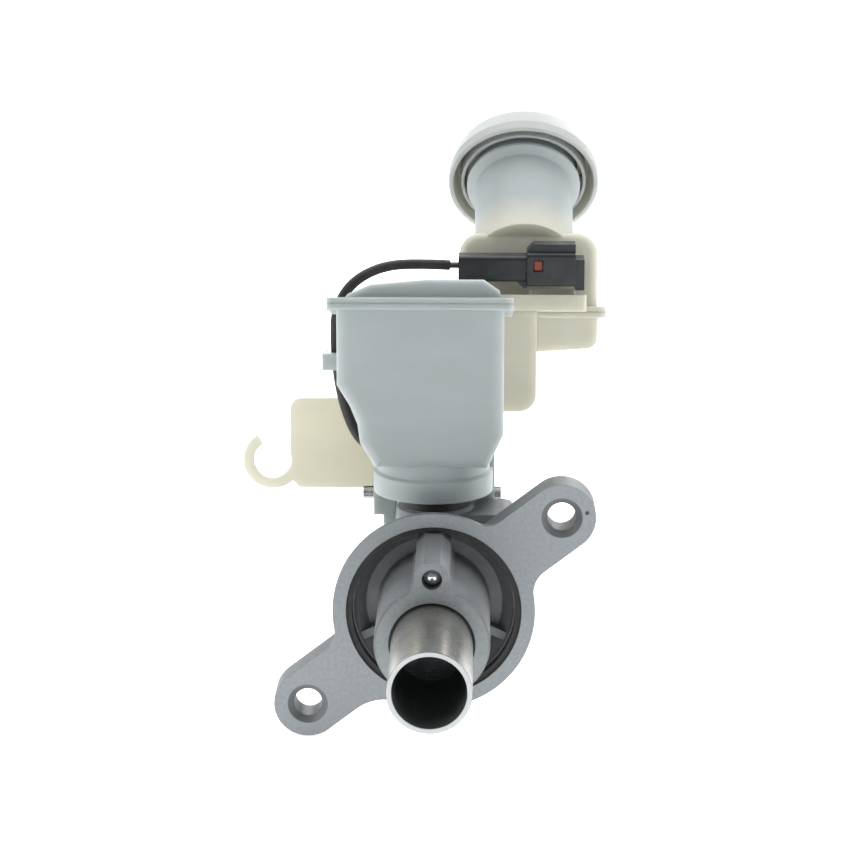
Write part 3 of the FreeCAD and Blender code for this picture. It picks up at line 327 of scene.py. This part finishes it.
def paint_nodes():
    """Give every CAD node its material."""
    cast = cast_metal()
    piston = piston_metal()
    steel = turned_metal("bright_steel", (0.55, 0.55, 0.54), 0.24, 0)
    ball = turned_metal("polished_ball", (0.72, 0.73, 0.74), 0.1)
    # The cream second colour is painted light shining through the reservoir from behind.
    shell = natural_plastic("natural_plastic", (0.43, 0.475, 0.48), (0.69, 0.675, 0.57), 0.1)
    cap = natural_plastic("cap_plastic", (0.45, 0.47, 0.46), (0.45, 0.47, 0.46), 0.05)
    rubber = dull_black("black_rubber", (0.016, 0.016, 0.016), 0.55, 900.0, 0.02 * MM)
    trim = dull_black("black_plastic", (0.022, 0.022, 0.024), 0.42, 1400.0, 0.012 * MM)
    plug = dull_black("slate_plastic", (0.013, 0.016, 0.019), 0.42, 1500.0, 0.014 * MM, 0.3)
    red = dull_black("lock_plastic", (0.24, 0.035, 0.012), 0.4, 1500.0, 0.01 * MM, 0.15)
    brass = turned_metal("tinned_brass", (0.7, 0.6, 0.36), 0.25, 0)
    foam = dull_black("float_foam", (0.55, 0.5, 0.42), 0.8, 1200.0, 0.05 * MM)
    ferrite = dull_black("ferrite", (0.05, 0.05, 0.05), 0.6, 900.0, 0.02 * MM)
    by_slot = {
        "cast_aluminium": cast, "piston_metal": piston, "spring_steel": steel,
        "black_rubber": rubber, "black_plastic": trim, "ball_steel": ball,
        "natural_plastic": shell, "cap_plastic": cap, "float_foam": foam, "magnet": ferrite,
        "lead_sheath": rubber, "connector_plastic": plug, "lock_plastic": red,
        "terminal_brass": brass}
    for part in frame["record"]["subparts"]:
        node = frame["nodes"][part["node"]]
        node.data.materials.clear()
        node.data.materials.append(by_slot[part["material_slot"]])
    return by_slot


# ---- pieces ------------------------------------------------------------------------

def mesh_piece(name, build, material, body):
    """New piece from a function that fills a bmesh."""
    mesh = bpy.data.meshes.new(name)
    work = bmesh.new()
    build(work)
    bmesh.ops.recalc_face_normals(work, faces=work.faces)
    work.to_mesh(mesh)
    work.free()
    for polygon in mesh.polygons:
        polygon.use_smooth = True
    piece = bpy.data.objects.new(name, mesh)
    bpy.context.scene.collection.objects.link(piece)
    mesh.materials.append(material)
    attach(piece, body)
    return piece


def tube_along(work, points, radius, sides=14):
    """Closed round tube through a list of points, its ends capped."""
    rings = []
    up = Vector((0, 0, 1))
    for i, point in enumerate(points):
        before, after = points[max(i - 1, 0)], points[min(i + 1, len(points) - 1)]
        way = (after - before).normalized()
        side = way.cross(up)
        if side.length < 0.1:
            side = way.cross(Vector((1, 0, 0)))
        side.normalize()
        other = way.cross(side).normalized()
        ring = []
        for k in range(sides):
            angle = math.tau * k / sides
            spoke = side * math.cos(angle) + other * math.sin(angle)
            ring.append(work.verts.new(point + spoke * radius))
        rings.append(ring)
    for first, second in zip(rings, rings[1:]):
        for k in range(sides):
            nxt = (k + 1) % sides
            work.faces.new((first[k], first[nxt], second[nxt], second[k]))
    work.faces.new(rings[0])
    work.faces.new(list(reversed(rings[-1])))


def coil_points(start, stop, radius, turns, closed=1.2, steps=40):
    """Points of a compression spring along Y whose end turns lie nearly closed."""
    points = []
    dead = closed / turns
    for i in range(int(turns * steps) + 1):
        turned = i / steps
        share = turned / turns
        if share < dead:
            eased = share * DEAD_PITCH
        elif share > 1 - dead:
            eased = 1 - (1 - share) * DEAD_PITCH
        else:
            middle = (share - dead) / (1 - 2 * dead)
            eased = dead * DEAD_PITCH + middle * (1 - 2 * dead * DEAD_PITCH)
        angle = math.tau * turned
        points.append(Vector((radius * math.cos(angle), start + (stop - start) * eased,
                              radius * math.sin(angle))))
    return points


def make_springs(materials):
    """Coil springs in place of the CAD springs, carried by the pistons."""
    for node, body, joint in (("primary_spring", "primary_piston", "primary_stroke"),
                              ("secondary_spring", "secondary_piston", "secondary_stroke")):
        low, high = span(node)
        radius = (high.x - low.x) / 2 - CAD_WIRE_RADIUS
        points = coil_points(low.y + WIRE_RADIUS, high.y - WIRE_RADIUS, radius, SPRING_TURNS)
        piece = mesh_piece(node + "_coil", lambda work: tube_along(work, points, WIRE_RADIUS),
                           materials["spring_steel"], body)
        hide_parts(node)
        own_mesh(piece)


# The sensor's lead in millimetres, from the sensor up the side and over to the plug.
LEAD_ROUTE = [
    (-16.4, 57.2, 37.6), (-20.6, 55.8, 36.8), (-23.6, 53.6, 38.8), (-26.6, 52.6, 44.0),
    (-29.4, 52.2, 52.5), (-31.0, 52.0, 62.0), (-31.6, 52.2, 72.0), (-31.4, 53.2, 81.0),
    (-27.2, 56.0, 88.6), (-19.0, 60.0, 93.0), (-9.0, 64.0, 93.9), (3.8, 67.0, 92.7),
]


def make_lead(materials):
    """Sheathed lead on one smooth line through its clip."""
    curve = bpy.data.curves.new("sensor_lead_sheath", "CURVE")
    curve.dimensions = "3D"
    spline = curve.splines.new("NURBS")
    spline.points.add(len(LEAD_ROUTE) - 1)
    for point, spot in zip(spline.points, LEAD_ROUTE):
        point.co = (*(c * MM for c in spot), 1)
    spline.order_u = 3
    spline.use_endpoint_u = True
    spline.resolution_u = 12
    curve.bevel_depth = LEAD_RADIUS
    curve.bevel_resolution = 6
    curve.use_fill_caps = True
    piece = bpy.data.objects.new("sensor_lead_sheath", curve)
    bpy.context.scene.collection.objects.link(piece)
    curve.materials.append(materials["lead_sheath"])
    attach(piece, "cylinder")
    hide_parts("sensor_lead")


# ---- stage, light and camera -------------------------------------------------------

def make_stage():
    """Pale floor just under the part."""
    lowest = Vector(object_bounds()[0]).z
    floor = bpy.data.meshes.new("floor")
    work = bmesh.new()
    bmesh.ops.create_grid(work, x_segments=8, y_segments=8, size=6.0)
    work.to_mesh(floor)
    work.free()
    piece = bpy.data.objects.new("floor", floor)
    piece.location = (0, 0, lowest - FLOOR_GAP)
    bpy.context.scene.collection.objects.link(piece)
    shader = Shader("floor", (0.94, 0.94, 0.94), 0.7)
    pale = shader.ramp(shader.noise(3.0), [(0.3, (0.93, 0.93, 0.93)), (0.7, (0.95, 0.95, 0.95))])
    shader.link(pale, "Base Color")
    shader.bsdf.inputs["Emission Color"].default_value = (1, 1, 1, 1)
    shader.bsdf.inputs["Emission Strength"].default_value = FLOOR_GLOW
    floor.materials.append(shader.material)


def area_light(name, place, target, size, power):
    """Rectangular lamp of a power in watts, aimed at a target."""
    data = bpy.data.lights.new(name, "AREA")
    data.shape = "RECTANGLE"
    data.size, data.size_y = size
    data.energy = power
    lamp = bpy.data.objects.new(name, data)
    lamp.location = place
    lamp.rotation_euler = (Vector(target) - Vector(place)).to_track_quat("-Z", "Y").to_euler()
    bpy.context.scene.collection.objects.link(lamp)


def make_light():
    """Soft sky and four large lamps."""
    world = bpy.data.worlds.new("studio")
    bpy.context.scene.world = world
    world.use_nodes = True
    tree = world.node_tree
    background = tree.nodes["Background"]
    coords = tree.nodes.new("ShaderNodeTexCoord")
    split = tree.nodes.new("ShaderNodeSeparateXYZ")
    level = tree.nodes.new("ShaderNodeMapRange")
    tree.links.new(coords.outputs["Generated"], split.inputs[0])
    tree.links.new(split.outputs["Y"], level.inputs[0])
    for socket, setting in enumerate((SKY_FROM, SKY_TO, SKY_DIM, SKY_BRIGHT), start=1):
        level.inputs[socket].default_value = setting
    tree.links.new(level.outputs[0], background.inputs["Strength"])
    background.inputs["Color"].default_value = (0.97, 0.985, 1.0, 1)
    area_light("top_box", (0.05, 0.25, 0.75), (0, 0.03, 0.03), (0.9, 0.7), 4.2)
    area_light("left_box", (-0.6, -0.25, 0.35), (0, 0.0, 0.02), (0.35, 0.6), 1.3)
    area_light("right_box", (0.65, -0.1, 0.3), (0, 0.0, 0.0), (0.3, 0.6), 1.0)
    area_light("back_box", (0.1, 0.75, 0.35), (0.02, 0.05, 0.06), (0.7, 0.5), 3.2)


def make_camera():
    """Camera matched to the photo's view."""
    data = bpy.data.cameras.new("camera")
    data.sensor_width = 36
    data.lens = 114.35
    data.clip_start = 0.05
    camera = bpy.data.objects.new("camera", data)
    camera.location = (0.01286, -0.76938, 0.25074)
    camera.rotation_euler = (math.radians(75.91), 0, math.radians(1.15))
    bpy.context.scene.collection.objects.link(camera)
    bpy.context.scene.camera = camera


materials = paint_nodes()
make_springs(materials)
make_lead(materials)
make_stage()
make_light()
make_camera()
bpy.context.scene.view_settings.view_transform = "Standard"
